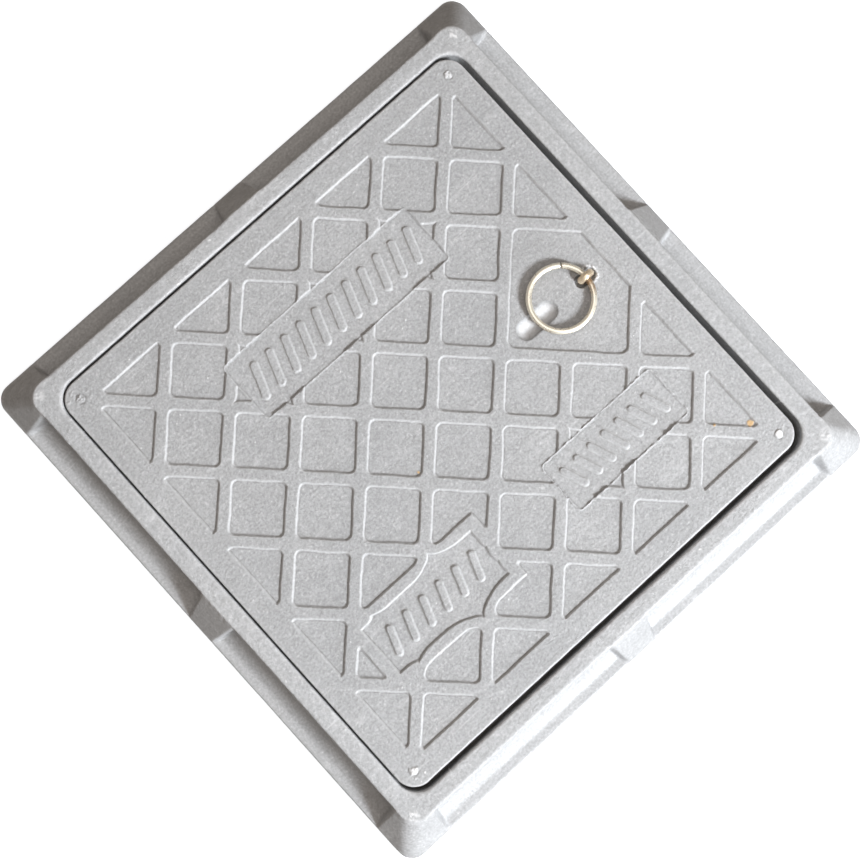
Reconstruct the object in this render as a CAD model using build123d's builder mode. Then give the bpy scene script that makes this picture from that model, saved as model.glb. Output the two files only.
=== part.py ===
from build123d import *
from math import degrees, sqrt
import os

# Square access cover in its frame, moulded in glass-fibre plastic, with a pull ring.
# Millimetres. +Z is up, the origin is the centre of the frame's underside, and +X points
# from the middle of the cover to its pull ring.

os.makedirs("parts", exist_ok=True)

# Frame
frame_height = 34
base_side = 386
base_radius = 11
flange_thickness = 6
rim_side = 348
rim_radius = 11
seat_side = 325
seat_radius = 15
opening_side = 300
opening_radius = 10
corner_boss_length = 30
middle_boss_width = 28
wall_lean = 2.5
cove_size = 10
cove_radius = 12.5
cut_past = 5

# Cover, lying against two sides of its seat
cover_side = 320
cover_radius = 13
cover_thickness = 20
cover_shift = (-1.3, 1.0)
cover_edge_round = 1.2
cover_foot_chamfer = 2
frame_foot_chamfer = 1.5

# Diamond tread: square pockets standing on their corners, half_pitch apart in X and Y
half_pitch = 28.6
rib_width = 7
pocket_side = half_pitch * sqrt(2) - rib_width
pocket_radius = 3.8
pocket_depth = 1.4
pocket_draft = 20
tread_side = 288.6
tread_reach = 5

# Plates let into the tread: centre, size and depth
long_plate = ((0, 85.4), (148, 41.6))
ring_side_plate = ((73.3, -85), (89.6, 35.5))
plain_plate = ((-73.3, -84.8), (91.5, 37.1))
plain_plate_clearance = ((-72.8, -84.3), (102.7, 49))
plate_depth = 1.9
plate_radius = 3

# Rows of leaning raised marks that stand on the plates
mark_height = 1.2
long_plate_marks = dict(count=11, spacing=12.4, width=5.2, length=25, lean=20)
ring_side_plate_marks = dict(count=7, spacing=11.2, width=4.6, length=20, lean=-20)
plain_plate_marks = dict(count=6, spacing=13.2, width=4.6, length=20, lean=20)

# Pull ring, its split pin and the washer under the cover
ring_mean_radius = 20.2
ring_wire_radius = 2
ring_centre_x = 106.8
ring_clearance = 1.6
pin_foot_clearance = 0.3
ring_joint_angle = 48.7
ring_joint_gap = 0.9
handle_pocket_centre_x = 4 * half_pitch
handle_pocket_side = pocket_side + half_pitch * sqrt(2)
handle_pocket_radius = 5
pin_wire_radius = 2.5
pin_eye_inner_radius = 3.4
pin_eye_drop = 0.9
pin_neck_radius = 3
pin_foot_bend = 4
pin_foot_length = 9
pin_split = 0.2
pin_hole_radius = 3.25
mouth_length = 14.6
mouth_width = 8.2
mouth_depth = 4.7
scoop_x = 87.2
scoop_length = 30.4
scoop_width = 12.8
scoop_depth = 4.2
scoop_draft = 22
washer_radius = 9
washer_hole_radius = 3.4
washer_thickness = 1.5

# Levels and places that follow
seat_z = frame_height - cover_thickness
floor_z = frame_height - pocket_depth
plate_z = frame_height - plate_depth
pin_x = ring_centre_x + ring_mean_radius
ring_z = floor_z + ring_clearance + ring_wire_radius
eye_z = ring_z - pin_eye_drop


def on_cover(z, x=0, y=0):
    """A level plane above the cover's own centre."""
    return Plane((cover_shift[0] + x, cover_shift[1] + y, z))


def square(side, radius):
    """A rounded square centred on the sketch."""
    return RectangleRounded(side, side, radius)


# ---------------------------------------------------------------- frame
with BuildPart() as frame:
    with BuildSketch():
        square(base_side, base_radius)
    extrude(amount=flange_thickness)

    # Sloping outside from the flange's edge up to the rim
    with BuildSketch(Plane.XY.offset(flange_thickness)):
        square(base_side, base_radius)
    with BuildSketch(Plane.XY.offset(frame_height)):
        square(rim_side, rim_radius)
    loft()

    # Two coved recesses a side leave a boss at each corner and one in the middle
    recess_start = middle_boss_width / 2
    recess_end = base_side / 2 - corner_boss_length
    recess_length = recess_end - recess_start
    for turn in range(4):
        outward = Vector(1, 0, 0).rotate(Axis.Z, 90 * turn)
        sideways = Vector(0, 1, 0).rotate(Axis.Z, 90 * turn)
        for side in (-1, 1):
            middle = sideways * side * (recess_start + recess_end) / 2
            with BuildSketch(Plane(middle, x_dir=outward, z_dir=-sideways)):
                with BuildLine():
                    top = (rim_side / 2, frame_height)
                    wall_foot = (rim_side / 2 + wall_lean, flange_thickness + cove_size)
                    cove_foot = (wall_foot[0] + cove_size, flange_thickness)
                    outside = base_side / 2 + cut_past
                    Line(top, wall_foot)
                    RadiusArc(wall_foot, cove_foot, cove_radius)
                    Polyline(cove_foot, (outside, flange_thickness), (outside, frame_height), top)
                make_face()
            extrude(amount=recess_length / 2, both=True, mode=Mode.SUBTRACT)

    # Seat for the cover and the clear opening under it
    with BuildSketch(Plane.XY.offset(seat_z)):
        square(seat_side, seat_radius)
    extrude(amount=cover_thickness, mode=Mode.SUBTRACT)
    with BuildSketch():
        square(opening_side, opening_radius)
    extrude(amount=seat_z, mode=Mode.SUBTRACT)

    underside = frame.faces().sort_by(Axis.Z)[0]
    chamfer(underside.outer_wire().edges(), length=frame_foot_chamfer)
    chamfer(underside.inner_wires()[0].edges(), length=frame_foot_chamfer)
frame.part.label = "frame"
export_step(frame.part, "parts/frame.step")


# ---------------------------------------------------------------- cover
removed_cells = [(-2, 3), (0, 3), (2, 3), (2, -3), (-2, -3)]
handle_cells = [(3, 0), (5, 0), (4, 1), (4, -1)]
trimmed_cells = [(-3, -2), (-1, -2), (-3, -4), (-1, -4), (-4, -3)]


def rectangle(plate, grow=0):
    """A plate's outline on the cover's own axes."""
    centre, size = plate
    with BuildSketch() as outline:
        with Locations(centre):
            Rectangle(size[0] + 2 * grow, size[1] + 2 * grow)
    return outline.sketch


def diamond(i, j, grow=0):
    """The tread pocket at column i and row j, grown sideways by grow."""
    with BuildSketch() as outline:
        with Locations((i * half_pitch, j * half_pitch)):
            side = pocket_side + 2 * grow
            RectangleRounded(side, side, pocket_radius + grow, rotation=45)
        if (i, j) in trimmed_cells:
            add(rectangle(plain_plate_clearance, -grow), mode=Mode.SUBTRACT)
    return outline.sketch


def tread_cells():
    """Column and row of every diamond that stays in the tread."""
    reach = range(-tread_reach, tread_reach + 1)
    for i in reach:
        for j in reach:
            if (i + j) % 2 and (i, j) not in removed_cells + handle_cells:
                yield i, j


with BuildSketch() as recessed:
    # Round the plates, all that the ribs of the neighbouring pockets leave
    for i, j in removed_cells:
        with Locations((i * half_pitch, j * half_pitch)):
            Rectangle(pocket_side + 2 * rib_width, pocket_side + 2 * rib_width, rotation=45)
    add(rectangle(plain_plate_clearance, -rib_width))
    for i, j in tread_cells():
        add(diamond(i, j, rib_width), mode=Mode.SUBTRACT)
    for i, j in tread_cells():
        add(diamond(i, j))
    with Locations((handle_pocket_centre_x, 0)):
        RectangleRounded(handle_pocket_side, handle_pocket_side, handle_pocket_radius, rotation=45)
    Rectangle(tread_side, tread_side, mode=Mode.INTERSECT)


def leaning_marks(count, spacing, width, length, lean):
    """A row of leaning marks with round ends, centred on the sketch."""
    with GridLocations(spacing, 0, count, 1):
        SlotOverall(length, width, rotation=90 - lean)


with BuildPart() as cover:
    with BuildSketch(on_cover(seat_z)):
        square(cover_side, cover_radius)
    extrude(amount=cover_thickness)
    fillet(cover.edges().group_by(Axis.Z)[-1], radius=cover_edge_round)
    chamfer(cover.edges().group_by(Axis.Z)[0], length=cover_foot_chamfer)

    with BuildSketch(on_cover(frame_height)):
        add(recessed.sketch)
    extrude(amount=-pocket_depth, taper=pocket_draft, mode=Mode.SUBTRACT)

    # The plates that are let in deeper than the pockets, and the marks that stand on them
    for centre, size in (long_plate, ring_side_plate):
        with BuildSketch(on_cover(frame_height, *centre)):
            RectangleRounded(*size, plate_radius)
        extrude(amount=-plate_depth, mode=Mode.SUBTRACT)
    with BuildSketch(on_cover(plate_z, *long_plate[0])):
        leaning_marks(**long_plate_marks)
    extrude(amount=mark_height)
    with BuildSketch(on_cover(plate_z, *ring_side_plate[0])):
        leaning_marks(**ring_side_plate_marks)
    extrude(amount=mark_height)
    with BuildSketch(on_cover(floor_z, *plain_plate[0])):
        leaning_marks(**plain_plate_marks)
    extrude(amount=mark_height)

    # Finger scoop under the ring, and the mouth and hole for its pin
    with BuildSketch(on_cover(floor_z, scoop_x)):
        SlotOverall(scoop_length, scoop_width)
    extrude(amount=-scoop_depth, taper=scoop_draft, mode=Mode.SUBTRACT)
    with BuildSketch(on_cover(floor_z, pin_x)):
        SlotOverall(mouth_length, mouth_width)
    extrude(amount=-mouth_depth, mode=Mode.SUBTRACT)
    with BuildSketch(on_cover(seat_z, pin_x)):
        Circle(pin_hole_radius)
    extrude(amount=cover_thickness, mode=Mode.SUBTRACT)
cover.part.label = "cover"
export_step(cover.part, "parts/cover.step")


# ---------------------------------------------------------------- pull ring
with BuildPart() as pull_ring:
    gap_angle = degrees(ring_joint_gap / ring_mean_radius)
    start_angle = ring_joint_angle + gap_angle / 2
    ring_centre = on_cover(ring_z, ring_centre_x).origin
    joint_plane = Plane(ring_centre, x_dir=(1, 0, 0), z_dir=(0, -1, 0)).rotated((0, 0, start_angle))
    with BuildSketch(joint_plane):
        with Locations((ring_mean_radius, 0)):
            Circle(ring_wire_radius)
    revolve(axis=Axis(ring_centre, (0, 0, 1)), revolution_arc=360 - gap_angle)
pull_ring.part.label = "pull_ring"
export_step(pull_ring.part, "parts/pull_ring.step")


# ---------------------------------------------------------------- split pin
# Half of the pin: a foot bent out under the washer, a leg, a neck and half of the eye.
# The line is the flat face of the half-round wire.
washer_foot_z = seat_z - washer_thickness
foot_flat_z = washer_foot_z - pin_foot_clearance - pin_wire_radius
leg_x = pin_split / 2
neck_centre_x = leg_x + pin_neck_radius
tangent_distance = pin_eye_inner_radius + pin_neck_radius
neck_z = eye_z - sqrt(tangent_distance**2 - neck_centre_x**2)
touch_share = pin_eye_inner_radius / tangent_distance
touch = (neck_centre_x * touch_share, eye_z + (neck_z - eye_z) * touch_share)
pin_side = Plane((cover_shift[0] + pin_x, cover_shift[1], 0), x_dir=(1, 0, 0), z_dir=(0, -1, 0))

with BuildPart() as ring_pin:
    with BuildLine(pin_side) as wire_line:
        foot_tip = (leg_x + pin_foot_bend + pin_foot_length, foot_flat_z)
        foot = Line(foot_tip, (leg_x + pin_foot_bend, foot_flat_z))
        bend = TangentArc(foot @ 1, (leg_x, foot_flat_z + pin_foot_bend), tangent=foot % 1)
        leg = Line(bend @ 1, (leg_x, neck_z))
        neck = TangentArc(leg @ 1, touch, tangent=leg % 1)
        eye = TangentArc(neck @ 1, (0, eye_z + pin_eye_inner_radius), tangent=neck % 1)
    with BuildSketch(Plane(foot @ 0, x_dir=(0, 1, 0), z_dir=foot % 0)):
        Circle(pin_wire_radius)
        with Locations((0, pin_wire_radius)):
            Rectangle(2 * pin_wire_radius, 2 * pin_wire_radius, mode=Mode.SUBTRACT)
    sweep(path=wire_line.wires()[0])
    mirror(about=Plane(pin_side.origin, z_dir=(1, 0, 0)))
ring_pin.part.label = "ring_pin"
export_step(ring_pin.part, "parts/ring_pin.step")


# ---------------------------------------------------------------- washer
with BuildPart() as pin_washer:
    with BuildSketch(on_cover(washer_foot_z, pin_x)):
        Circle(washer_radius)
        Circle(washer_hole_radius, mode=Mode.SUBTRACT)
    extrude(amount=washer_thickness)
pin_washer.part.label = "pin_washer"
export_step(pin_washer.part, "parts/pin_washer.step")
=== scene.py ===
"""Looks of the square moulded access cover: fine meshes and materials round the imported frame.

Metres, in the row frame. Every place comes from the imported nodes' boxes and a few sizes.
"""

import math

import bpy
import numpy as np
from mathutils import Matrix, Vector


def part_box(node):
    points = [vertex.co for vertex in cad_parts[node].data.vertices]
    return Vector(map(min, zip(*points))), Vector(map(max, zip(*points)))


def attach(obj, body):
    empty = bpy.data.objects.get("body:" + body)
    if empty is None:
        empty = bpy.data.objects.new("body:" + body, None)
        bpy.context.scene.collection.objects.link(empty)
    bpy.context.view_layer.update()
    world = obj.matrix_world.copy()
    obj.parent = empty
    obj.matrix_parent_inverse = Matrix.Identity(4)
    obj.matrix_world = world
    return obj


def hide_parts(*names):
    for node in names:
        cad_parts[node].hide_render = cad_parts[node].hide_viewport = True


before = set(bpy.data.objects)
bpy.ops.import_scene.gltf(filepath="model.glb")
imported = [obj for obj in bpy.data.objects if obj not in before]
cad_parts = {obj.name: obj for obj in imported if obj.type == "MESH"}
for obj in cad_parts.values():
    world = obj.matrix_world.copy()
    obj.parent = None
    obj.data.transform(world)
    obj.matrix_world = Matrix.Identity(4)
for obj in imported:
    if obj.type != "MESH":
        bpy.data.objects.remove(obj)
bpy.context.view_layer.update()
MM = 0.001

# ------------------------------------------------------------------ places from the frame
cover_low, cover_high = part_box("cover")
_, frame_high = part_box("frame")
ring_low, ring_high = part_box("pull_ring")
pin_low, pin_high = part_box("ring_pin")
washer_low, washer_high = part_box("pin_washer")

cover_centre = (cover_low + cover_high) / 2
cover_side = cover_high.x - cover_low.x
cover_top = cover_high.z
ring_centre = (ring_low + ring_high) / 2
pin_centre = (pin_low + pin_high) / 2
pin_centre_x = (washer_low.x + washer_high.x) / 2

# ------------------------------------------------------------------ sizes of the cover
CORNER_RADIUS = 13 * MM
EDGE_ROUND = 1.3 * MM
HALF_PITCH = 28.6 * MM
RIB = 7 * MM
POCKET_RADIUS = 3.8 * MM
POCKET_DEPTH = 1.4 * MM
TRIMMED_RADIUS = 3 * MM
TREAD_HALF = 144.3 * MM
TREAD_REACH = 5
LONG_PLATE = (0, 85.4 * MM, 74 * MM, 20.8 * MM)
RING_SIDE_PLATE = (73.3 * MM, -85 * MM, 44.8 * MM, 17.7 * MM)
PLAIN_PLATE = (-73.3 * MM, -84.8 * MM, 45.7 * MM, 18.5 * MM)
PLAIN_CLEARANCE = (-72.8 * MM, -84.3 * MM, 51.3 * MM, 24.5 * MM)
PLATE_DEPTH = 1.7 * MM
# Rows of leaning bars: how many, their spacing, width and height, and their lean in degrees
LONG_PLATE_BARS = (11, 12.4 * MM, 5.6 * MM, 25 * MM, 20)
RING_SIDE_BARS = (7, 11.2 * MM, 5 * MM, 20 * MM, -20)
PLAIN_PLATE_BARS = (6, 13.2 * MM, 5 * MM, 20 * MM, 20)
MARK_HEIGHT = 1.3 * MM
SCOOP_OFFSET = 19.6 * MM
SCOOP_HALF_LENGTH = 15.2 * MM
SCOOP_HALF_WIDTH = 6.4 * MM
SCOOP_DEPTH = 4.2 * MM
MOUTH_HALF_LENGTH = 7.3 * MM
MOUTH_HALF_WIDTH = 4.1 * MM
MOUTH_DEPTH = 4.7 * MM
HOLE_RADIUS = 3.25 * MM
CORNER_MARK = 149.3 * MM
CORNER_CRUMBS = {(1, -1): 1.0, (-1, -1): 0.85, (1, 1): 0.6, (-1, 1): 0.25}
REMOVED_CELLS = [(-2, 3), (0, 3), (2, 3), (2, -3), (-2, -3), (3, 0), (5, 0), (4, 1), (4, -1)]
TRIMMED_CELLS = [(-3, -2), (-1, -2), (-3, -4), (-1, -4), (-4, -3)]
STAINS = [(141 * MM, -133 * MM, 2.6 * MM), (124 * MM, -119 * MM, 1.1 * MM),
          (-28 * MM, -20 * MM, 1 * MM)]
FINE_CELLS = 768


# ------------------------------------------------------------------ shape helpers
def ramp(low, high, value):
    """Smooth step from 0 at low to 1 at high, or the other way round when low is above high."""
    share = np.clip((value - low) / (high - low), 0, 1)
    return share * share * (3 - 2 * share)


def near(value, width):
    """1 where value is 0, falling off to nothing a few widths away."""
    return np.exp(-(value / width) ** 2)


def rounded_box(x, y, half_x, half_y, radius=0.0):
    """Signed distance to a rounded rectangle centred at the origin, negative inside."""
    across = np.abs(x) - half_x + radius
    along = np.abs(y) - half_y + radius
    outside = np.hypot(np.maximum(across, 0), np.maximum(along, 0))
    return outside + np.minimum(np.maximum(across, along), 0) - radius


def meet(first, second, radius=0.0):
    """Signed distance to what two shapes share, with its corners rounded."""
    first, second = first + radius, second + radius
    outside = np.hypot(np.maximum(first, 0), np.maximum(second, 0))
    return outside + np.minimum(np.maximum(first, second), 0) - radius


def plate_distance(x, y, plate, radius=0.0):
    centre_x, centre_y, half_x, half_y = plate
    return rounded_box(x - centre_x, y - centre_y, half_x, half_y, radius)


def turned(x, y):
    """Coordinates along the tread's ribs."""
    return (x + y) / math.sqrt(2), (y - x) / math.sqrt(2)


def waves(x, y, length, seed, count=9):
    """A smooth uneven field from -1 to 1 with about one hump per length."""
    random = np.random.default_rng(seed)
    field = np.zeros_like(x)
    for angle, stretch, phase in random.random((count, 3)):
        turn = 2 * math.pi * angle
        pace = 2 * math.pi / (length * (0.6 + stretch))
        field += np.sin(pace * (x * math.cos(turn) + y * math.sin(turn)) + 2 * math.pi * phase)
    return field / count * 1.6


# ------------------------------------------------------------------ the cover's top
def tread_distance(x, y):
    """Signed distance to everything that is sunk between the ribs, negative inside."""
    along, across = turned(x, y)
    half = (HALF_PITCH * math.sqrt(2) - RIB) / 2
    border = rounded_box(x, y, TREAD_HALF, TREAD_HALF)
    nearest = np.full(x.shape, 1.0)
    cells = [(i, j, half, POCKET_RADIUS) for i in range(-TREAD_REACH, TREAD_REACH + 1)
             for j in range(-TREAD_REACH, TREAD_REACH + 1)
             if (i + j) % 2 and (i, j) not in REMOVED_CELLS]
    cells.append((4, 0, half + HALF_PITCH / math.sqrt(2), 5 * MM))
    for i, j, cell_half, radius in cells:
        u, v = turned(i * HALF_PITCH, j * HALF_PITCH)
        reach = cell_half + 2 * RIB
        close = (np.abs(along - u) < reach) & (np.abs(across - v) < reach)
        found = rounded_box(along[close] - u, across[close] - v, cell_half, cell_half, radius)
        if (i, j) in TRIMMED_CELLS:
            clearance = plate_distance(x[close], y[close], PLAIN_CLEARANCE)
            found = meet(found, -clearance, TRIMMED_RADIUS)
        nearest[close] = np.minimum(nearest[close], meet(found, border[close]))
    left_over = np.maximum(RIB - nearest, border + RIB)
    return np.minimum(nearest, left_over)


def bar_distance(x, y, plate, count, spacing, width, height, lean):
    """Signed distance to a row of leaning bars with round ends."""
    turn = math.radians(lean)
    nearest = np.full(x.shape, 1.0)
    for step in range(count):
        middle = plate[0] + (step - (count - 1) / 2) * spacing
        u = (x - middle) * math.cos(turn) - (y - plate[1]) * math.sin(turn)
        v = (x - middle) * math.sin(turn) + (y - plate[1]) * math.cos(turn)
        nearest = np.minimum(nearest, rounded_box(u, v, width / 2, height / 2, width / 2))
    return nearest


def cover_top_surface(x, y):
    """Height under the ribs' tops, and how worn, how deep in painted shade, how chalky and how
    stained each point is.
    """
    wander_x = 0.3 * MM * waves(x, y, 22 * MM, 1)
    wander_y = 0.3 * MM * waves(x, y, 22 * MM, 2)
    sunk = tread_distance(x + wander_x, y + wander_y) + 0.1 * MM * waves(x, y, 5 * MM, 12)
    height = -POCKET_DEPTH * ramp(0.4 * MM, -0.9 * MM, sunk)
    worn = near(sunk + 0.2 * MM, 0.75 * MM)
    # Painted shade along the foot of each pocket's wall
    painted_shade = near(sunk + 0.95 * MM, 0.4 * MM)

    # Plates let in over the tread, with the thin flash that the mould left round them
    for plate, flash, raggedness, seed in ((LONG_PLATE, 0.6 * MM, 0.3, 4),
                                           (RING_SIDE_PLATE, 0.8 * MM, 1.1, 5)):
        inside = plate_distance(x + wander_x, y + wander_y, plate, 3 * MM)
        inside = inside + 0.3 * raggedness * MM * waves(x, y, 3.5 * MM, seed)
        height = np.minimum(height, -PLATE_DEPTH * ramp(0.3 * MM, -0.35 * MM, inside))
        ragged = np.clip(0.8 + raggedness * waves(x, y, 4 * MM, seed + 10), 0, 1.6)
        ridge = ragged * near(inside - 0.35 * MM, 0.36 * MM)
        height = height + flash * ridge
        within = ramp(0.2 * MM, -0.5 * MM, inside)
        worn = np.maximum(worn * (1 - within), 0.8 * ridge)
        # Painted shade along the foot of the flash round each plate
        foot = 0.7 * near(inside + 0.6 * MM, 0.4 * MM)
        painted_shade = np.maximum(painted_shade * (1 - within), foot)

    # Leaning bars that stand up from each plate
    for plate, depth, bars in ((LONG_PLATE, PLATE_DEPTH, LONG_PLATE_BARS),
                               (RING_SIDE_PLATE, PLATE_DEPTH, RING_SIDE_BARS),
                               (PLAIN_PLATE, POCKET_DEPTH, PLAIN_PLATE_BARS)):
        mark = bar_distance(x, y, plate, *bars) + 0.15 * MM * waves(x, y, 4 * MM, 6)
        height = np.maximum(height, -depth + MARK_HEIGHT * ramp(0.5 * MM, -0.9 * MM, mark))
        worn = np.maximum(worn, 0.8 * near(mark + 0.1 * MM, 0.8 * MM))
        # Painted shade round the foot of each bar
        painted_shade = np.maximum(painted_shade, 0.5 * near(mark - 0.7 * MM, 0.4 * MM))

    # Finger scoop, a long soft bowl
    ring_x = ring_centre.x - cover_centre.x
    scoop = rounded_box(x - (ring_x - SCOOP_OFFSET), y,
                        SCOOP_HALF_LENGTH, SCOOP_HALF_WIDTH, SCOOP_HALF_WIDTH)
    bowl = np.clip(-scoop / SCOOP_HALF_WIDTH, 0, 1)
    bowl = 1 - (1 - bowl) ** 2
    height = np.minimum(height, -POCKET_DEPTH - SCOOP_DEPTH * bowl + (scoop > 0))
    # The bowl is painted paler: partly rubbed by fingers, partly a painted highlight for its lit
    # wall
    rubbed_and_highlight = 0.5 * ramp(0, 0.8, bowl)
    # Painted shade round the scoop's rim
    painted_shade = np.maximum(painted_shade, 0.35 * near(scoop, 0.9 * MM))

    # The mouth broken out round the pin, with a ragged rim
    pin_x = pin_centre_x - cover_centre.x
    mouth = rounded_box(x - pin_x, y, MOUTH_HALF_LENGTH, MOUTH_HALF_WIDTH, 4 * MM)
    broken = mouth - 0.2 * MM * waves(x, y, 3 * MM, 7)
    far_side = ramp(-3 * MM, 4 * MM, x - pin_x + y * 0.4)
    chips = np.clip(waves(x, y, 2.3 * MM, 8) + 0.5, 0, 1.4) * (0.2 + 0.8 * far_side)
    chips = chips * near(mouth - 1.1 * MM, 0.95 * MM)
    height = height + 0.9 * MM * chips
    height = np.minimum(height, -POCKET_DEPTH - MOUTH_DEPTH * ramp(0.25 * MM, -0.9 * MM, broken)
                        + (broken > 0.25 * MM))

    # Ragged marks of the mould's pins at the corners
    strength = np.zeros_like(x)
    for (side_x, side_y), amount in CORNER_CRUMBS.items():
        strength[(np.sign(x) == side_x) & (np.sign(y) == side_y)] = amount
    mark = np.hypot(np.abs(x) - CORNER_MARK, np.abs(y) - CORNER_MARK)
    mark = mark + 0.5 * MM * waves(x, y, 3.1 * MM, 9)
    broken_up = np.clip(1.3 * strength + waves(x, y, 2.6 * MM, 13), 0, 1)
    crumbs = broken_up * ramp(2.9 * MM, 1.7 * MM, mark)
    groove = np.clip(waves(x, y, 4.5 * MM, 14) + 0.5, 0, 1) * near(mark - 3 * MM, 0.5 * MM)
    height = height + 0.7 * MM * crumbs - 0.5 * MM * groove
    # Painted shade in the groove round each corner mark
    painted_shade = np.maximum(painted_shade, groove)
    roughness = np.clip(waves(x, y, 2.8 * MM, 20) * waves(x, y, 9 * MM, 23) - 0.1, 0, 1)
    around = ramp(16 * MM, 5 * MM, mark) * roughness
    height = height + 0.5 * MM * around
    dabs = np.clip(waves(x, y, 6 * MM, 15) * waves(x, y, 2.2 * MM, 16) - 0.55, 0, 1)
    height = height + 0.4 * MM * dabs

    # Rounded outer edge, a little uneven all over
    outline = rounded_box(x, y, cover_side / 2, cover_side / 2, CORNER_RADIUS)
    edge_round = EDGE_ROUND * (1 + 0.25 * waves(x, y, 13 * MM, 17))
    into = np.clip(-outline, 0, edge_round)
    rounding = np.sqrt(np.maximum(edge_round**2 - (edge_round - into) ** 2, 0))
    height = height - (edge_round - rounding)
    inner = ramp(0, 3 * MM, -outline)
    height = height + (0.05 * waves(x, y, 46 * MM, 11) - 0.06) * MM * inner
    grit = waves(x, y, 1.7 * MM, 3, 14) + 0.8 * waves(x, y, 3.4 * MM, 18, 14)
    height = height + 0.016 * MM * grit * inner

    worn = np.maximum(worn, near(outline + 0.7 * MM, 0.9 * MM))
    chalk = np.maximum(strength * crumbs + 0.5 * around,
                       np.maximum(np.maximum(chips, rubbed_and_highlight), 1.5 * dabs))
    stain = np.zeros_like(x)
    for stain_x, stain_y, size in STAINS:
        spot = np.hypot(x - stain_x, y - stain_y) + 0.6 * MM * waves(x, y, 2.2 * MM, 19)
        stain = np.maximum(stain, ramp(size, 0.5 * size, spot))
    return height + 0.3 * MM * stain, np.stack([worn, painted_shade, chalk, stain], axis=-1)


def cover_under_surface(x, y):
    """Height above the cover's flat underside: pin marks of the mould and an uneven back, with
    painted shade round the pin marks.
    """
    height = 0.12 * MM * np.abs(waves(x, y, 9 * MM, 21))
    height = height + 0.05 * MM * np.abs(waves(x, y, 3 * MM, 22))
    pitch = cover_side / 3.2
    mark_x = np.abs(np.abs(x + pitch / 2) % pitch - pitch / 2)
    mark_y = np.abs(np.abs(y + pitch / 2) % pitch - pitch / 2)
    mark = np.hypot(mark_x, mark_y)
    height = height + 0.5 * MM * ramp(7.3 * MM, 6.7 * MM, mark)
    edge = rounded_box(x, y, cover_side / 2, cover_side / 2, CORNER_RADIUS)
    height = height + 1.6 * MM * ramp(-1.8 * MM, 0, edge)
    # Painted shade round the edge of each pin mark
    painted_shade = near(mark - 7.2 * MM, 0.6 * MM)
    return height, np.stack([0 * painted_shade, painted_shade, 0 * painted_shade, 0 * painted_shade], axis=-1)


# ------------------------------------------------------------------ meshes from height fields
def outline_grid(count):
    """A square grid of count cells a side, pulled in at its corners to the cover's outline."""
    half = cover_side / 2
    line = np.linspace(-half, half, count + 1)
    x, y = np.meshgrid(line, line, indexing="ij")
    inner = half - CORNER_RADIUS
    over_x, over_y = np.abs(x) - inner, np.abs(y) - inner
    corner = (over_x > 0) & (over_y > 0)
    reach = np.maximum(over_x, over_y) / np.maximum(np.hypot(over_x, over_y), 1e-9)
    x = np.where(corner, np.sign(x) * (inner + over_x * reach), x)
    y = np.where(corner, np.sign(y) * (inner + over_y * reach), y)
    return x, y


def widen(mask):
    """A mask grown by one cell each way."""
    wide = np.pad(mask, 1)
    grown = np.zeros_like(mask)
    for i in range(3):
        for j in range(3):
            grown |= wide[i:i + mask.shape[0], j:j + mask.shape[1]]
    return grown


def any_of_four(mask):
    return mask[::2, ::2] | mask[1::2, ::2] | mask[::2, 1::2] | mask[1::2, 1::2]


def bend(height, size):
    """How far the height field leaves the straight cells of this size, for each cell."""
    low_low, high_low = height[:-1:size, :-1:size], height[size::size, :-1:size]
    low_high, high_high = height[:-1:size, size::size], height[size::size, size::size]
    count = low_low.shape[0]
    worst = np.zeros_like(low_low)
    for i in range(size + 1):
        for j in range(size + 1):
            a, b = i / size, j / size
            flat = ((1 - a) * ((1 - b) * low_low + b * low_high)
                    + a * ((1 - b) * high_low + b * high_high))
            real = height[i::size, j::size][:count, :count]
            worst = np.maximum(worst, np.abs(real - flat))
    return worst


def leaf_faces(height, must, tolerance, levels=3):
    """Faces of a mesh whose cells are small where the height field bends. Cells in must stay small.

    Returns a list of arrays of 8 places in the grid, -1 where a face has no point there."""
    count = height.shape[0] - 1
    splits, below = {}, None
    for level in range(1, levels + 1):
        size = 2**level
        split = bend(height, size) > tolerance
        must = any_of_four(must)
        split |= must
        if below is not None:
            split |= any_of_four(widen(below))
        splits[level], below = split, split
    corners = []
    for level in range(levels, -1, -1):
        size = 2**level
        cells = count // size
        here = np.ones((cells, cells), bool)
        if level < levels:
            here = np.kron(splits[level + 1], np.ones((2, 2), bool))
        if level:
            here &= ~splits[level]
        i, j = np.nonzero(here)
        corners.append((i * size, j * size, size))
    used = np.zeros((count + 1, count + 1), bool)
    for i, j, size in corners:
        for a, b in ((0, 0), (size, 0), (size, size), (0, size)):
            used[i + a, j + b] = True
    faces = []
    for i, j, size in corners:
        half = size // 2
        ring = [(0, 0), (half, 0), (size, 0), (size, half),
                (size, size), (half, size), (0, size), (0, half)]
        face = np.empty((len(i), 8), np.int64)
        for place, (a, b) in enumerate(ring):
            number = (i + a) * (count + 1) + j + b
            middle = place % 2 == 1
            keep = used[i + a, j + b] & (size > 1) if middle else np.ones(len(i), bool)
            face[:, place] = np.where(keep, number, -1)
        faces.append(face)
    return np.concatenate(faces)


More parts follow.
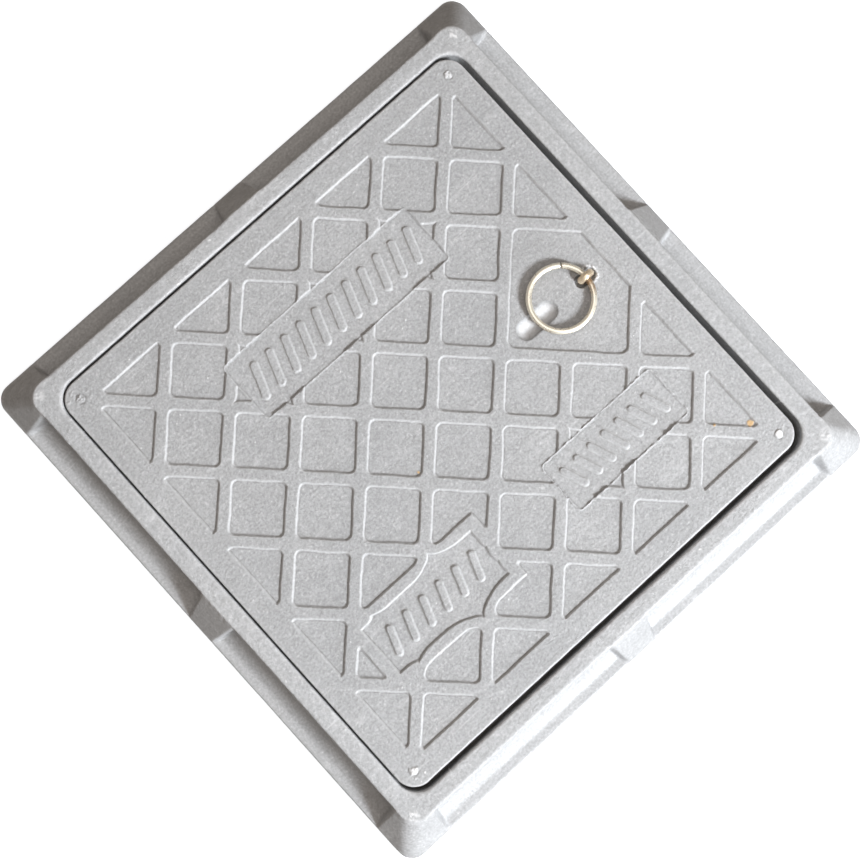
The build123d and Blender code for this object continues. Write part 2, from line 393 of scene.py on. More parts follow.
def mesh_object(name, points, loops, counts, values=None):
    """A smooth mesh object from points, the faces' corners in one row and each face's count.

    values holds four numbers a point for the material: worn, painted shade in hollows, chalky, and
    stained or smooth on a moulding, and painted light on the top of the wire and a painted shadow
    patch on a wire."""
    mesh = bpy.data.meshes.new(name)
    mesh.vertices.add(len(points))
    mesh.vertices.foreach_set("co", np.asarray(points, np.float32).ravel())
    mesh.loops.add(len(loops))
    mesh.loops.foreach_set("vertex_index", np.asarray(loops, np.int32))
    mesh.polygons.add(len(counts))
    starts = np.concatenate([[0], np.cumsum(counts)[:-1]])
    mesh.polygons.foreach_set("loop_start", starts.astype(np.int32))
    mesh.polygons.foreach_set("loop_total", np.asarray(counts, np.int32))
    mesh.polygons.foreach_set("use_smooth", np.ones(len(counts), bool))
    mesh.update(calc_edges=True)
    mesh.validate()
    if values is not None:
        layer = mesh.attributes.new("surface", "FLOAT_COLOR", "POINT")
        layer.data.foreach_set("color", values.astype(np.float32).ravel())
    piece = bpy.data.objects.new(name, mesh)
    bpy.context.scene.collection.objects.link(piece)
    return piece


def make_cover():
    """The cover's moulding, one closed mesh: fine top, edge, underside and the pin's hole."""
    n = FINE_CELLS
    x, y = outline_grid(n)
    pin_x = pin_centre_x - cover_centre.x
    middle_x = (x[:-1, :-1] + x[1:, 1:]) / 2
    middle_y = (y[:-1, :-1] + y[1:, 1:]) / 2
    hole = np.hypot(middle_x - pin_x, middle_y) < HOLE_RADIUS
    must = widen(widen(hole))
    must[0, :] = must[-1, :] = must[:, 0] = must[:, -1] = True

    # The hole's stepped edge is drawn onto its circle
    touched = np.zeros((n + 1, n + 1), bool)
    kept = np.zeros((n + 1, n + 1), bool)
    for a in (0, 1):
        for b in (0, 1):
            touched[a:n + a, b:n + b] |= hole
            kept[a:n + a, b:n + b] |= ~hole
    rim = touched & kept
    away = np.hypot(x[rim] - pin_x, y[rim])
    x[rim] = pin_x + (x[rim] - pin_x) * HOLE_RADIUS / away
    y[rim] = y[rim] * HOLE_RADIUS / away

    top, top_values = cover_top_surface(x, y)
    under, under_values = cover_under_surface(x, y)
    sheets = []
    for height, tolerance in ((top, 0.03 * MM), (under, 0.05 * MM)):
        faces = leaf_faces(height, must.copy(), tolerance)
        cell_i, cell_j = np.divmod(faces[:, 0], n + 1)
        sheets.append(faces[~hole[np.minimum(cell_i, n - 1), np.minimum(cell_j, n - 1)]])
    top_faces, under_faces = sheets
    grid = (n + 1) ** 2
    points = [np.stack([x, y, cover_top - cover_centre.z + top], -1).reshape(-1, 3),
              np.stack([x, y, cover_low.z - cover_centre.z + under], -1).reshape(-1, 3)]
    values = [top_values.reshape(-1, 4), under_values.reshape(-1, 4)]
    rows = [top_faces, np.where(under_faces[:, ::-1] >= 0, under_faces[:, ::-1] + grid, -1)]

    # Side wall, in levels from the top's edge to the underside's edge
    line = np.arange(n)
    loop = np.concatenate([line * (n + 1), n * (n + 1) + line, (n - line) * (n + 1) + n, n - line])
    levels = 9
    shares = np.linspace(0, 1, levels)
    upper, lower = points[0][loop], points[1][loop]
    outward = lower[:, :2] / np.linalg.norm(lower[:, :2], axis=1, keepdims=True)
    made = [loop]
    start = 2 * grid
    around = np.arange(len(loop))
    for share in shares[1:-1]:
        row = upper * (1 - share) + lower * share
        height_along = np.full(len(loop), share * 0.02)
        sag = 0.18 * MM * waves(around * MM * 0.42, height_along, 17 * MM, 31)
        row[:, :2] -= outward * np.abs(sag)[:, None] * math.sin(math.pi * share)
        points.append(row)
        values.append(np.zeros((len(loop), 4)))
        made.append(start + around)
        start += len(loop)
    made.append(loop + grid)
    for high, low in zip(made[:-1], made[1:]):
        side = np.full((len(loop), 8), -1)
        side[:, 0], side[:, 2] = high, low
        side[:, 4], side[:, 6] = np.roll(low, -1), np.roll(high, -1)
        rows.append(side)

    # Wall of the pin's hole: one face for each cell edge between the hole and the rest
    padded = np.pad(hole, 1)
    walls = []
    for step, first, second in (((1, 0), (1, 1), (1, 0)), ((-1, 0), (0, 0), (0, 1)),
                                ((0, 1), (0, 1), (1, 1)), ((0, -1), (1, 0), (0, 0))):
        other = padded[1 + step[0]:n + 1 + step[0], 1 + step[1]:n + 1 + step[1]]
        i, j = np.nonzero(hole & ~other)
        one = (i + first[0]) * (n + 1) + j + first[1]
        two = (i + second[0]) * (n + 1) + j + second[1]
        wall = np.full((len(i), 8), -1)
        wall[:, 0], wall[:, 2], wall[:, 4], wall[:, 6] = two, one, one + grid, two + grid
        walls.append(wall)
    rows.append(np.concatenate(walls))

    rows = np.concatenate(rows)
    points, values = np.concatenate(points), np.concatenate(values)
    points += np.array(cover_centre)
    keep, loops = np.unique(rows[rows >= 0], return_inverse=True)
    return mesh_object("cover_moulding", points[keep], loops.ravel(), (rows >= 0).sum(1),
                       values[keep])


# ------------------------------------------------------------------ the frame
RIM_HALF = 174 * MM
RIM_RADIUS = 11 * MM
BASE_RADIUS = 11 * MM
SEAT_HALF = 162.5 * MM
SEAT_RADIUS = 15 * MM
OPENING_HALF = 150 * MM
OPENING_RADIUS = 10 * MM
FLANGE = 6 * MM
WALL_LEAN = 2.5 * MM
COVE = 10 * MM
COVE_RADIUS = 12.5 * MM
MIDDLE_BOSS_HALF = 12.5 * MM
CORNER_BOSS = 33.5 * MM
CHEEK = 3.5 * MM
BOSS_TUCK = 3 * MM
RIM_MARK = 168 * MM
CORNER_SHARE = 3


def rounded_line(points, radii, step):
    """A line through points with each inner corner rounded, cut into even steps."""
    points = [np.array(p, float) for p in points]
    line = [points[0]]
    for before, here, after, radius in zip(points, points[1:], points[2:], radii):
        back, ahead = before - here, after - here
        back, ahead = back / np.linalg.norm(back), ahead / np.linalg.norm(ahead)
        half_turn = math.acos(np.clip(back @ ahead, -1, 1)) / 2
        reach = radius / math.tan(half_turn)
        middle = here + (back + ahead) / np.linalg.norm(back + ahead) * radius / math.sin(half_turn)
        start, end = here + back * reach - middle, here + ahead * reach - middle
        turn = math.pi - 2 * half_turn
        for share in np.linspace(0, 1, 7):
            line.append(middle + (start * math.sin((1 - share) * turn)
                                  + end * math.sin(share * turn)) / math.sin(turn))
    line.append(points[-1])
    return even_steps(np.array(line), step=step)


def even_steps(line, step=None, count=None):
    """The same line cut into equal steps, of a length or a number."""
    lengths = np.concatenate([[0], np.cumsum(np.linalg.norm(np.diff(line, axis=0), axis=1))])
    count = count or max(2, round(lengths[-1] / step) + 1)
    places = np.linspace(0, lengths[-1], count)
    return np.stack([np.interp(places, lengths, axis) for axis in line.T], -1)


def frame_sections():
    """The frame's section at a boss and at a coved recess, point for point, from the flange's foot
    over the rim and the seat to the opening's foot: distance from the middle, then height."""
    base = frame_high.x
    height = frame_high.z
    wall_foot = (RIM_HALF + WALL_LEAN, FLANGE + COVE)
    cove_foot = (RIM_HALF + WALL_LEAN + COVE, FLANGE)
    chord = math.hypot(COVE, COVE) / 2
    rise = math.sqrt(COVE_RADIUS**2 - chord**2)
    middle = ((wall_foot[0] + cove_foot[0]) / 2 + rise / math.sqrt(2),
              (wall_foot[1] + cove_foot[1]) / 2 + rise / math.sqrt(2))
    start = math.atan2(wall_foot[1] - middle[1], wall_foot[0] - middle[0]) % (2 * math.pi)
    end = math.atan2(cove_foot[1] - middle[1], cove_foot[0] - middle[0]) % (2 * math.pi)
    cove = [(middle[0] + COVE_RADIUS * math.cos(a), middle[1] + COVE_RADIUS * math.sin(a))
            for a in np.linspace(end, start, 9)]
    top_middle = (RIM_HALF - 4 * MM, height)
    lower = [(base - 3 * MM, 0), (base - 1.2 * MM, 0), (base, 1.4 * MM), (base, FLANGE - 0.6 * MM)]
    boss = rounded_line([*lower, (base - 1 * MM, FLANGE + 0.8 * MM), (RIM_HALF, height),
                         top_middle],
                        [0.6 * MM, 0.6 * MM, 1 * MM, 1 * MM, 1.6 * MM], 0.8 * MM)
    recess_radii = [0.6 * MM, 0.6 * MM, 1.2 * MM, 0.2 * MM] + [0.05 * MM] * 8 + [1.4 * MM]
    recess = rounded_line([*lower[:3], (base, FLANGE), *cove, (RIM_HALF, height), top_middle],
                          recess_radii, 0.8 * MM)
    recess = even_steps(recess, count=len(boss))
    inner = rounded_line([top_middle, (SEAT_HALF, height), (SEAT_HALF, cover_low.z),
                          (OPENING_HALF, cover_low.z), (OPENING_HALF, 1.5 * MM),
                          (OPENING_HALF + 1.5 * MM, 0), (OPENING_HALF + 6 * MM, 0)],
                         [1.2 * MM, 1 * MM, 1.2 * MM, 0.8 * MM, 0.8 * MM], 1 * MM)[1:]
    foot = even_steps(np.array([(OPENING_HALF + 6 * MM, 0), (base - 3 * MM, 0)]), count=9)[1:-1]
    rest = np.concatenate([inner, foot])
    return np.concatenate([boss, rest]), np.concatenate([recess, rest]), len(boss)


def corner_radius(half):
    """Corner radius of the frame's square outline at a distance from the middle."""
    return np.interp(half, [OPENING_HALF, SEAT_HALF, RIM_HALF - 2 * MM, RIM_HALF],
                     [OPENING_RADIUS, SEAT_RADIUS, RIM_RADIUS, BASE_RADIUS])


def make_frame():
    """The frame's moulding: its section carried round a square with rounded corners."""
    boss, recess, outer_count = frame_sections()
    columns = len(boss)
    even = 135 * MM
    fine = 0.8
    middle = np.concatenate([np.arange(-even, -20 * MM, 1.6 * fine * MM),
                             np.arange(-20 * MM, 20 * MM, fine * MM),
                             np.arange(20 * MM, even, 1.6 * fine * MM)])
    stretch = np.linspace(0, 1, int(40 / fine))[:-1]
    flat = np.concatenate([-1 - stretch[::-1], middle / even, 1 + stretch])
    bend_shares = np.linspace(0, 1, int(14 / fine))[:-1]
    half_edge = boss[:, 0] - corner_radius(boss[:, 0])
    outward = np.clip((boss[:, 0] - RIM_HALF) / (frame_high.x - RIM_HALF), 0, 1)
    tuck = BOSS_TUCK * outward**2
    far = frame_high.x - CORNER_BOSS
    points, on_recess = [], []
    for turn in range(4):
        angle = math.pi / 2 * turn
        for share in [*flat, *(CORNER_SHARE + bend_shares)]:
            on_corner = share >= CORNER_SHARE
            over = max(0.0, abs(share) - 1)
            place = math.copysign(1, share) * (min(abs(share), 1) * even
                                               + over * (half_edge - even))
            cheek = ramp(MIDDLE_BOSS_HALF, MIDDLE_BOSS_HALF + CHEEK, np.abs(place) + tuck)
            cheek = cheek * ramp(far, far - CHEEK, np.abs(place) - tuck) * (not on_corner)
            section = boss + (recess - boss) * cheek[:, None]
            on_recess.append(cheek[outer_count // 2])
            half, radius = section[:, 0], corner_radius(section[:, 0])
            if on_corner:
                swing = math.pi / 2 * (share - CORNER_SHARE)
                x = half - radius + radius * math.cos(swing)
                y = half - radius + radius * math.sin(swing)
            else:
                x, y = half, place
            points.append(np.stack([x * math.cos(angle) - y * math.sin(angle),
                                    x * math.sin(angle) + y * math.cos(angle), section[:, 1]], -1))
    points = np.array(points)
    rows = len(points)
    x, y, z = points[..., 0], points[..., 1], points[..., 2]
    reach = np.hypot(x, y)

    # How much of each place along the section is rim, lip, seat edge or outside
    half, height = boss[:, 0], boss[:, 1]
    rim = ramp(frame_high.z - 1.2 * MM, frame_high.z - 0.2 * MM, height)
    outside = (np.arange(columns) < outer_count) & (height > 1 * MM)
    outer_lip = outside * ramp(frame_high.z - 9 * MM, frame_high.z - 1.5 * MM, height)
    seat_edge = near(half - SEAT_HALF - 0.8 * MM, 0.8 * MM) * rim
    smooth = outside * (1 - rim)

    dent = 0.12 * MM * np.abs(waves(x, y, 37 * MM, 41))
    dent = dent + 0.08 * MM * np.abs(waves(x + z, y - z, 8 * MM, 42))
    ragged = 0.25 * MM * np.clip(waves(x, y, 5 * MM, 43) + 0.2, 0, 1) * outer_lip
    inward = (outside * dent + ragged) / reach
    points[..., 0] -= x * inward
    points[..., 1] -= y * inward
    mark = np.hypot(np.abs(x) - RIM_MARK, np.abs(y) - RIM_MARK)
    mark = mark + 0.7 * MM * waves(x, y, 3.1 * MM, 45)
    crumbs = np.clip(waves(x, y, 1.9 * MM, 46) + 0.2, 0, 1) * ramp(3.6 * MM, 2.4 * MM, mark) * rim
    dabs = np.clip(waves(x, y, 7 * MM, 47) * waves(x, y, 2.4 * MM, 48) - 0.5, 0, 1) * rim
    unevenness = 0.12 * MM * np.abs(waves(x, y, 26 * MM, 44))
    points[..., 2] += rim * (0.4 * MM * crumbs + 0.3 * MM * dabs - unevenness)
    points[..., 2] += rim * 0.025 * MM * waves(x, y, 2.2 * MM, 49, 14)

    worn = np.maximum(0.8 * outer_lip * near(half - RIM_HALF, 1.6 * MM), seat_edge)
    worn = worn * (0.4 + 0.6 * np.clip(waves(x, y, 9 * MM, 50) + 0.5, 0, 1))

    # Painted shade in the coves and on the bosses, most of it on the +Y side, which faces away from
    # the key light
    away_from_key = np.clip(0.5 + 0.5 * y / RIM_HALF, 0, 1)
    cove = np.array(on_recess)[:, None] * ramp(FLANGE + 1 * MM, FLANGE + 9 * MM, z)
    boss_side = (1 - np.array(on_recess))[:, None] * ramp(FLANGE, FLANGE + 4 * MM, z)
    shade_in_coves = (0.1 + 0.9 * away_from_key**2) * 0.95 * cove
    shade_on_bosses = 0.55 * away_from_key**4 * boss_side
    painted_shade = outside * (1 - rim) * (shade_in_coves + shade_on_bosses)
    chalk = np.maximum(1.2 * crumbs, 2 * dabs)
    values = np.stack([worn, painted_shade, chalk, smooth * np.ones_like(x)], -1).reshape(-1, 4)
    here = np.arange(rows * columns).reshape(rows, columns)
    ahead = np.roll(here, -1, axis=0)
    faces = np.stack([here, np.roll(here, -1, axis=1), np.roll(ahead, -1, axis=1), ahead], -1)
    faces = faces.reshape(-1, 4)
    return mesh_object("frame_moulding", points.reshape(-1, 3), faces[:, ::-1].ravel(),
                       np.full(len(faces), 4), values)


# ------------------------------------------------------------------ wire pieces
def band_faces(here, ahead):
    """Quads between rows of point numbers and the next rows, each row closed on itself."""
    faces = np.stack([here, ahead, np.roll(ahead, -1, axis=1), np.roll(here, -1, axis=1)], -1)
    return faces.reshape(-1, 4)


def swept(name, centres, sides, ups, section, closed, end_round=0.0, stain=None):
    """A tube of a given section along points, with sides and ups as each point's own axes.

    stain is the middle and the reach of a patch painted darker: on the ring, the painted shadow of
    the pin's eye."""
    count, round_count = len(centres), len(section)
    points = (centres[:, None] + sides[:, None] * section[None, :, :1]
              + ups[:, None] * section[None, :, 1:])
    here = np.arange(count * round_count).reshape(count, round_count)
    rows_here = here if closed else here[:-1]
    ahead = np.roll(here, -1, axis=0) if closed else here[1:]
    faces = band_faces(rows_here, ahead)
    loops, counts = faces.ravel(), np.full(len(faces), 4)
    points = points.reshape(-1, 3)
    if not closed:
        for end, row, flip in ((0, here[0], 1), (count - 1, here[-1], -1)):
            inner_row = len(points) + np.arange(round_count)
            centre = centres[end]
            points = np.concatenate([points, centre + (points[row] - centre) * 0.82
                                     + end_round * np.cross(sides[end], ups[end]) * flip])
            cap = np.stack([row, np.roll(row, -1), np.roll(inner_row, -1), inner_row], -1)
            cap = cap if flip == 1 else cap[:, ::-1]
            last = inner_row[::-1] if flip == -1 else inner_row
            loops = np.concatenate([loops, cap.ravel(), last])
            counts = np.concatenate([counts, np.full(len(cap), 4), [round_count]])
    # How far up the section each point lies, which the wire's material paints light on top and
    # shaded on the sides, and how far into the painted shadow patch it lies
    painted_top_light = np.tile(section[:, 1] / section[:, 1].max(), count)
    painted_top_light = np.concatenate([painted_top_light, np.zeros(len(points) - len(painted_top_light))])
    stained = np.zeros(len(points))
    if stain is not None:
        stained = ramp(stain[1], 0.4 * stain[1], np.linalg.norm(points - stain[0], axis=1))
    values = np.stack([painted_top_light, stained, 0 * painted_top_light, 0 * painted_top_light], -1)
    return mesh_object(name, points, loops, counts, values)


def make_ring():
    """The pull ring: round wire bent to a circle, its two cut ends not quite meeting."""
    wire = (ring_high.z - ring_low.z) / 2
    radius = (ring_high.x - ring_low.x) / 2 - wire
    gap = 0.9 * MM / radius
    start = math.radians(48.7) + gap / 2
    angles = np.linspace(start, start + 2 * math.pi - gap, 200)
    bent = radius + 0.12 * MM * np.sin(2 * angles + 0.6) - 0.14 * MM
    out = np.stack([np.cos(angles), np.sin(angles), 0 * angles], -1)
    centres = np.array(ring_centre) + out * bent[:, None]
    ups = np.tile([0.0, 0, 1], (len(angles), 1))
    turn = np.linspace(0, 2 * math.pi, 29)[:-1]
    section = np.stack([np.cos(turn), np.sin(turn)], -1) * (wire - 0.04 * MM)
    # A brown patch painted where the pin's eye shades the ring: a painted shadow
    painted_eye_shadow = (np.array([ring_centre.x + radius, pin_centre.y - 5 * MM, ring_high.z]), 9 * MM)
    return swept("ring_wire", centres, out, ups, section, closed=False, end_round=0.15 * MM,
                 stain=painted_eye_shadow)


def make_pin():
    """The split pin: half-round wire from one foot up round the eye and down to the other foot."""
    wire = (pin_high.y - pin_low.y) / 2
    eye_inner, neck, split, bend_radius = 3.4 * MM, 3 * MM, 0.1 * MM, 4 * MM
    eye_z = pin_high.z - wire - eye_inner
    foot_z = pin_low.z
    reach = eye_inner + neck
    neck_x = split + neck
    neck_z = eye_z - math.sqrt(reach**2 - neck_x**2)
    foot_end = pin_high.x - pin_centre.x
    half = [(foot_end, foot_z), (split + bend_radius, foot_z)]
    half += [(split + bend_radius - bend_radius * math.sin(a),
              foot_z + bend_radius - bend_radius * math.cos(a))
             for a in np.linspace(0, math.pi / 2, 14)[1:]]
    half += [(split, neck_z)]
    lean = math.acos(neck_x / reach)
    half += [(neck_x - neck * math.cos(a), neck_z + neck * math.sin(a))
             for a in np.linspace(0, lean, 10)[1:]]
    half += [(eye_inner * math.cos(a), eye_z + eye_inner * math.sin(a))
             for a in np.linspace(-lean, math.pi / 2, 30)[1:]]
    half = np.array(half)
    other = half[::-1][1:] * [-1, 1]
    line = even_steps(np.concatenate([half, other]), step=0.35 * MM)
    along = np.gradient(line, axis=0)
    along /= np.linalg.norm(along, axis=1, keepdims=True)
    centres = np.stack([line[:, 0] + pin_centre.x, np.full(len(line), pin_centre.y), line[:, 1]],
                       -1)
    sides = np.tile([0.0, 1, 0], (len(line), 1))
    ups = np.stack([along[:, 1], np.zeros(len(line)), -along[:, 0]], -1)
    turn = np.linspace(0, math.pi, 15)
    arc = np.stack([np.cos(turn), np.sin(turn)], -1) * wire
    flat = np.stack([np.linspace(-wire, wire, 9)[1:-1], np.zeros(7)], -1)
    section = np.concatenate([arc, flat])
    section[:, 0] *= 0.985
    return swept("split_pin", centres, sides, ups, section, closed=False, end_round=0.2 * MM)


def make_washer():
    """The washer under the cover, with its stamped edges rounded on one side."""
    outer = (washer_high.x - washer_low.x) / 2
    inner = 3.4 * MM
    low, high = washer_low.z, washer_high.z
    section = rounded_line([((inner + outer) / 2, low), (outer, low), (outer, high), (inner, high),
                            (inner, low), ((inner + outer) / 2, low)],
                           [0.4 * MM, 0.1 * MM, 0.1 * MM, 0.4 * MM], 0.2 * MM)[:-1]
    turn = np.linspace(0, 2 * math.pi, 97)[:-1]
    middle = (washer_low + washer_high) / 2
    points = np.stack([middle.x + np.outer(np.cos(turn), section[:, 0]),
                       middle.y + np.outer(np.sin(turn), section[:, 0]),
                       np.tile(section[:, 1], (len(turn), 1))], -1)
    rows, columns = points.shape[:2]
    here = np.arange(rows * columns).reshape(rows, columns)
    ahead = np.roll(here, -1, axis=0)
    faces = band_faces(here, ahead)
    return mesh_object("washer", points.reshape(-1, 3), faces.ravel(), np.full(len(faces), 4))


# ------------------------------------------------------------------ materials
class Nodes:
    """Short names for building a material's node tree."""

    def __init__(self, name):
        self.material = bpy.data.materials.new(name)
        self.material.use_nodes = True
        self.tree = self.material.node_tree
        self.shader = self.tree.nodes["Principled BSDF"]
        self.place = self.tree.nodes.new("ShaderNodeTexCoord").outputs["Object"]

    def node(self, kind, settings=None, **inputs):
        made = self.tree.nodes.new(kind)
        for key, value in (settings or {}).items():
            setattr(made, key, value)
        for key, value in inputs.items():
            socket = made.inputs[key.replace("_", " ")]
            if isinstance(value, bpy.types.NodeSocket):
                self.tree.links.new(value, socket)
            else:
                socket.default_value = value
        return made

    def noise(self, size, detail=3.0, roughness=0.55, distortion=0.0, place=None):
        made = self.node("ShaderNodeTexNoise", Vector=place or self.place, Scale=1 / size,
                         Detail=detail, Roughness=roughness, Distortion=distortion)
        return made.outputs["Fac"]

    def stretched(self, scale, turn=0.0):
        mapping = self.node("ShaderNodeMapping", Vector=self.place, Scale=scale)
        mapping.inputs["Rotation"].default_value = (0, 0, turn)
        return mapping.outputs["Vector"]

    def band(self, value, low, high, to_low=0.0, to_high=1.0):
        made = self.node("ShaderNodeMapRange", {"interpolation_type": "SMOOTHSTEP"}, Value=value)
        for key, number in (("From Min", low), ("From Max", high),
                            ("To Min", to_low), ("To Max", to_high)):
            made.inputs[key].default_value = number
        return made.outputs["Result"]

    def math(self, operation, first, second):
        made = self.tree.nodes.new("ShaderNodeMath")
        made.operation = operation
        for socket, value in zip(made.inputs, (first, second)):
            if isinstance(value, bpy.types.NodeSocket):
                self.tree.links.new(value, socket)
            else:
                socket.default_value = value
        return made.outputs["Value"]

    def mix(self, share, first, second):
        made = self.node("ShaderNodeMix", {"data_type": "RGBA"})
        for place, value in ((0, share), (6, first), (7, second)):
            if isinstance(value, bpy.types.NodeSocket):
                self.tree.links.new(value, made.inputs[place])
            else:
                made.inputs[place].default_value = value
        return made.outputs[2]

    def bump(self, height, distance, strength=1.0, under=None):
        made = self.node("ShaderNodeBump", Height=height, Distance=distance, Strength=strength)
        if under is not None:
            self.tree.links.new(under, made.inputs["Normal"])
        return made.outputs["Normal"]

    def finish(self, **inputs):
        for key, value in inputs.items():
            socket = self.shader.inputs[key.replace("_", " ")]
            if isinstance(value, bpy.types.NodeSocket):
                self.tree.links.new(value, socket)
            else:
                socket.default_value = value
        return self.material


def grey(value, warm=0.0):
    return (value * (1 + warm), value * 0.995, value * (1 - warm), 1)


def moulded_plastic(name, tone, seed, fourth):
    """Grey glass-fibre moulding: gritty grain, cloudy colour, chalk smears, scratches, worn edges,
    painted shade in hollows.

    fourth says what the surface's fourth value means: "stained" or "smooth"."""
    n = Nodes(name)
    shifted = n.node("ShaderNodeMapping", Vector=n.place)
    shifted.inputs["Location"].default_value = (seed, -seed, 0.5 * seed)
    place = shifted.outputs["Vector"]
    surface = n.node("ShaderNodeAttribute", {"attribute_name": "surface"})
    parts = n.node("ShaderNodeSeparateColor", Color=surface.outputs["Color"]).outputs
    worn, painted_shade, chalk = parts["Red"], parts["Green"], parts["Blue"]
    extra = surface.outputs["Alpha"]

    clouds = n.noise(0.09, 4, 0.6, 0.3, place)
    blotches = n.noise(0.014, 5, 0.65, 0.2, place)
    grain = n.noise(0.0016, 4, 0.7, 0, place)
    pits = n.noise(0.0026, 4, 0.7, 0, place)
    colour = n.mix(n.band(clouds, 0.3, 0.7), grey(tone * 0.95, -0.014), grey(tone * 1.05, -0.008))
    colour = n.mix(n.band(blotches, 0.4, 0.75, 0, 0.4), colour, grey(tone * 1.2, -0.014))
    colour = n.mix(n.band(grain, 0.56, 0.36, 0, 0.45), colour, grey(tone * 0.55))
    colour = n.mix(n.band(grain, 0.56, 0.7, 0, 0.45), colour, grey(tone * 1.7))

    # Chalky smears drawn out one way, and fine scratches in three directions
    smear = n.noise(1.0, 4, 0.65, 0.5, n.stretched((24, 110, 40), 0.6))
    smear = n.math("MULTIPLY", n.band(smear, 0.56, 0.78),
                   n.band(n.noise(0.004, 4, 0.7, 0, place), 0.4, 0.62))
    colour = n.mix(n.math("MULTIPLY", smear, 0.55), colour, grey(tone * 1.7, -0.01))
    scratches = None
    for turn, across in ((0.35, 700), (-0.8, 850), (1.25, 760)):
        lines = n.noise(1.0, 2, 0.5, 0.15, n.stretched((16, across, 16), turn))
        sharp = n.band(lines, 0.66, 0.74)
        scratches = sharp if scratches is None else n.math("MAXIMUM", scratches, sharp)
    broken = n.math("MULTIPLY", scratches, n.band(n.noise(0.025, 3, 0.5, 0, place), 0.48, 0.64))
    colour = n.mix(n.math("MULTIPLY", broken, 0.3), colour, grey(tone * 1.7))

    edge = n.math("MULTIPLY", worn, n.band(n.noise(0.005, 3, 0.6, 0, place), 0.25, 0.55, 0.5, 1))
    colour = n.mix(n.math("MULTIPLY", edge, 0.34), colour, grey(tone * 1.7))
    # Painted shade: the hollows channel darkens the colour towards a warm dark grey
    shade_paint = n.math("MULTIPLY", painted_shade, n.band(n.noise(0.007, 3, 0.6, 0, place), 0.3, 0.7, 0.35, 0.7))
    colour = n.mix(shade_paint, colour, grey(tone * 0.36, 0.05))
    colour = n.mix(n.math("MULTIPLY", chalk, 0.85), colour, grey(0.88))

    rough = n.band(blotches, 0.3, 0.7, 0.5, 0.66)
    rough = n.math("SUBTRACT", rough, n.math("MULTIPLY", edge, 0.22))
    grit = 1.0
    if fourth == "smooth":
        rough = n.math("SUBTRACT", rough, n.math("MULTIPLY", extra, 0.2))
        grit = n.math("SUBTRACT", 1.0, n.math("MULTIPLY", extra, 0.7))
    else:
        colour = n.mix(extra, colour, (0.62, 0.42, 0.22, 1))
    normal = n.bump(n.math("MULTIPLY", pits, grit), 0.0006, 0.7)
    normal = n.bump(n.math("MULTIPLY", grain, grit), 0.0004, 0.8, normal)
    normal = n.bump(broken, -0.00006, 0.4, normal)
    return n.finish(Base_Color=colour, Roughness=rough, Normal=normal, Specular_IOR_Level=0.4)


def plated_wire(name, bright, dull, seed):
    """Yellow-plated steel wire: painted light on top and painted shade on its sides, brown in
    patches, a painted shadow where the pin's eye falls, dark specks.
    """
    n = Nodes(name)
    shifted = n.node("ShaderNodeMapping", Vector=n.place)
    shifted.inputs["Location"].default_value = (seed, seed, seed)
    place = shifted.outputs["Vector"]
    surface = n.node("ShaderNodeAttribute", {"attribute_name": "surface"})
    parts = n.node("ShaderNodeSeparateColor", Color=surface.outputs["Color"]).outputs
    painted_top_light, stained = parts["Red"], parts["Green"]
    patches = n.noise(0.006, 4, 0.65, 0.5, place)
    specks = n.noise(0.0009, 3, 0.6, 0, place)
    # Painted light and shade: the top of the wire takes the bright colour and its sides the dull
    # brown, as the key light falls on it
    uneven = n.math("ADD", painted_top_light, n.band(patches, 0.25, 0.75, -0.25, 0.25))
    colour = n.mix(n.band(uneven, -0.1, 0.75), dull, bright)
    # Painted shadow of the pin's eye on the ring, broken up in patches
    colour = n.mix(n.math("MULTIPLY", stained, n.band(patches, 0.35, 0.6, 0.35, 1)), colour,
                   (0.42, 0.27, 0.15, 1))
    colour = n.mix(n.band(specks, 0.62, 0.74, 0, 0.5), colour, (0.16, 0.09, 0.05, 1))
    rough = n.band(patches, 0.3, 0.75, 0.24, 0.42)
    normal = n.bump(specks, 0.00006, 0.5)
    return n.finish(Base_Color=colour, Roughness=rough, Normal=normal, Metallic=0.75)


def zinc(name):
    """Zinc-plated washer: spangled, slightly dull."""
    n = Nodes(name)
    spangle = n.node("ShaderNodeTexVoronoi", Vector=n.place, Scale=420).outputs["Color"]
    shade = n.node("ShaderNodeSeparateColor", Color=spangle).outputs["Red"]
    colour = n.mix(n.band(shade, 0, 1), (0.5, 0.51, 0.52, 1), (0.66, 0.66, 0.65, 1))
    scuff = n.noise(0.002, 4, 0.6)
    return n.finish(Base_Color=colour, Roughness=n.band(scuff, 0.3, 0.7, 0.3, 0.5), Metallic=0.9,
                    Normal=n.bump(scuff, 0.00005, 0.4))


def floor_paint(name):
    n = Nodes(name)
    shade = n.noise(0.35, 3, 0.5)
    colour = n.mix(n.band(shade, 0.3, 0.7), (0.83, 0.83, 0.83, 1), (0.88, 0.88, 0.875, 1))
    return n.finish(Base_Color=colour, Roughness=0.75, Normal=n.bump(n.noise(0.002), 0.0001, 0.2),
                    Emission_Color=(0.6, 0.63, 0.66, 1), Emission_Strength=1.05)


def dress(piece, material, body, node):
    piece.data.materials.append(material)
    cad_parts[node].data.materials.clear()
    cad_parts[node].data.materials.append(material)
    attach(piece, body)
    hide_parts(node)


dress(make_frame(), moulded_plastic("frame_plastic", 0.44, 3.7, "smooth"),
      "frame", "frame")
dress(make_cover(), moulded_plastic("cover_plastic", 0.405, 0.0, "stained"),
      "cover", "cover")
dress(make_washer(), zinc("washer_zinc"), "cover", "pin_washer")
# Painted lit top and painted shaded side colours of the pin's wire
brass_lit_top, brass_shaded_side = (0.93, 0.78, 0.58, 1), (0.3, 0.19, 0.12, 1)
dress(make_pin(), plated_wire("pin_plating", brass_lit_top, brass_shaded_side, 0.2),
      "ring_pin", "ring_pin")
